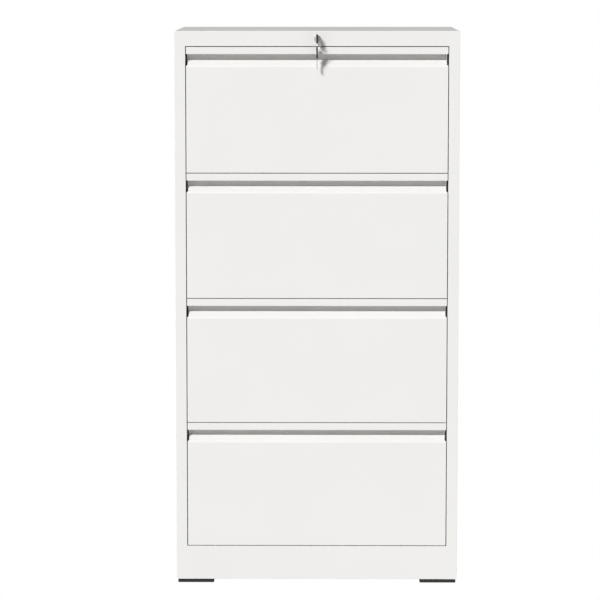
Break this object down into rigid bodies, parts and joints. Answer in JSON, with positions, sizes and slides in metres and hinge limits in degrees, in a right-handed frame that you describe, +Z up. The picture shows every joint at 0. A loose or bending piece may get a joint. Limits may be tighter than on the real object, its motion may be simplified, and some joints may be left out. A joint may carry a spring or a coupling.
{
  "type": "lateral filing cabinet",
  "caption": "Free-standing sheet-steel filing cabinet with full-width drawers on telescopic slides, recessed finger pulls, a keyed lock bar and corner pads",
  "frame": {"origin": "on the floor under the middle of the overall box, the key included", "axes": "+Z up, drawers open toward -Y, +X to the right seen from the front"},
  "size_m": [0.676, 0.4814, 1.328],
  "materials": {
    "body_paint": "smooth warm-white powder coat, satin",
    "front_paint": "smooth warm-white powder coat, satin",
    "zinc_steel": "bright zinc plate",
    "nickel": "nickel plate",
    "black_plastic": "matte black moulded plastic",
    "key_black": "black moulded key head on a steel blade"
  },
  "bodies": {
    "cabinet": {"side_panel_left": "body_paint", "side_panel_right": "body_paint", "top_panel": "body_paint", "top_rail": "body_paint", "back_panel": "body_paint", "base_panel": "body_paint", "plinth": "body_paint", "uprights": "zinc_steel", "feet": "black_plastic", "foot_screws": "zinc_steel", "carcass_rivets": "body_paint", "slide_screws": "zinc_steel", "lock_guides": "black_plastic", "lock_barrel": "nickel", "lock_nut": "zinc_steel", "slide_outer_1": "zinc_steel", "slide_outer_2": "zinc_steel", "slide_outer_3": "zinc_steel", "slide_outer_4": "zinc_steel"},
    "drawer_1": {"drawer_front_1": "front_paint", "drawer_liner_1": "front_paint", "drawer_tray_1": "front_paint", "hang_rails_1": "zinc_steel", "slide_inner_1": "zinc_steel", "drawer_screws_1": "zinc_steel", "drawer_catch_1": "zinc_steel"},
    "slide_1": {"slide_middle_1": "zinc_steel"},
    "drawer_2": {"drawer_front_2": "front_paint", "drawer_liner_2": "front_paint", "drawer_tray_2": "front_paint", "hang_rails_2": "zinc_steel", "slide_inner_2": "zinc_steel", "drawer_screws_2": "zinc_steel", "drawer_catch_2": "zinc_steel"},
    "slide_2": {"slide_middle_2": "zinc_steel"},
    "drawer_3": {"drawer_front_3": "front_paint", "drawer_liner_3": "front_paint", "drawer_tray_3": "front_paint", "hang_rails_3": "zinc_steel", "slide_inner_3": "zinc_steel", "drawer_screws_3": "zinc_steel", "drawer_catch_3": "zinc_steel"},
    "slide_3": {"slide_middle_3": "zinc_steel"},
    "drawer_4": {"drawer_front_4": "front_paint", "drawer_liner_4": "front_paint", "drawer_tray_4": "front_paint", "hang_rails_4": "zinc_steel", "slide_inner_4": "zinc_steel", "drawer_screws_4": "zinc_steel", "drawer_catch_4": "zinc_steel"},
    "slide_4": {"slide_middle_4": "zinc_steel"},
    "lock_core": {"lock_plug": "nickel", "lock_shaft": "zinc_steel", "lock_crank": "zinc_steel"},
    "lock_lift_bar": {"lock_bar": "zinc_steel", "lock_hooks": "zinc_steel"},
    "key_in_lock": {"key": "key_black"}
  },
  "joints": [
    {"name": "drawer_1_pull", "type": "slide", "parent": "cabinet", "child": "drawer_1", "axis": [0, -1, 0], "range_m": [0, 0.38]},
    {"name": "slide_1_run", "type": "slide", "parent": "cabinet", "child": "slide_1", "axis": [0, -1, 0], "range_m": [0, 0.19]},
    {"name": "drawer_2_pull", "type": "slide", "parent": "cabinet", "child": "drawer_2", "axis": [0, -1, 0], "range_m": [0, 0.38]},
    {"name": "slide_2_run", "type": "slide", "parent": "cabinet", "child": "slide_2", "axis": [0, -1, 0], "range_m": [0, 0.19]},
    {"name": "drawer_3_pull", "type": "slide", "parent": "cabinet", "child": "drawer_3", "axis": [0, -1, 0], "range_m": [0, 0.38]},
    {"name": "slide_3_run", "type": "slide", "parent": "cabinet", "child": "slide_3", "axis": [0, -1, 0], "range_m": [0, 0.19]},
    {"name": "drawer_4_pull", "type": "slide", "parent": "cabinet", "child": "drawer_4", "axis": [0, -1, 0], "range_m": [0, 0.38]},
    {"name": "slide_4_run", "type": "slide", "parent": "cabinet", "child": "slide_4", "axis": [0, -1, 0], "range_m": [0, 0.19]},
    {"name": "lock_turn", "type": "hinge", "parent": "cabinet", "child": "lock_core", "pos_m": [0, -0.2105, 1.31], "axis": [0, 1, 0], "range_deg": [0, 90]},
    {"name": "lock_bar_lift", "type": "slide", "parent": "cabinet", "child": "lock_lift_bar", "axis": [0, 0, 1], "range_m": [0, 0.01697]},
    {"name": "key_draw", "type": "slide", "parent": "lock_core", "child": "key_in_lock", "axis": [0, -1, 0], "range_m": [0, 0.024]}
  ],
  "couplings": [
    {"joint": "slide_1_run", "follows": "drawer_1_pull", "ratio": 0.5},
    {"joint": "slide_2_run", "follows": "drawer_2_pull", "ratio": 0.5},
    {"joint": "slide_3_run", "follows": "drawer_3_pull", "ratio": 0.5},
    {"joint": "slide_4_run", "follows": "drawer_4_pull", "ratio": 0.5},
    {"joint": "lock_turn", "follows": "lock_bar_lift", "rad_per_m": 92.56}
  ]
}
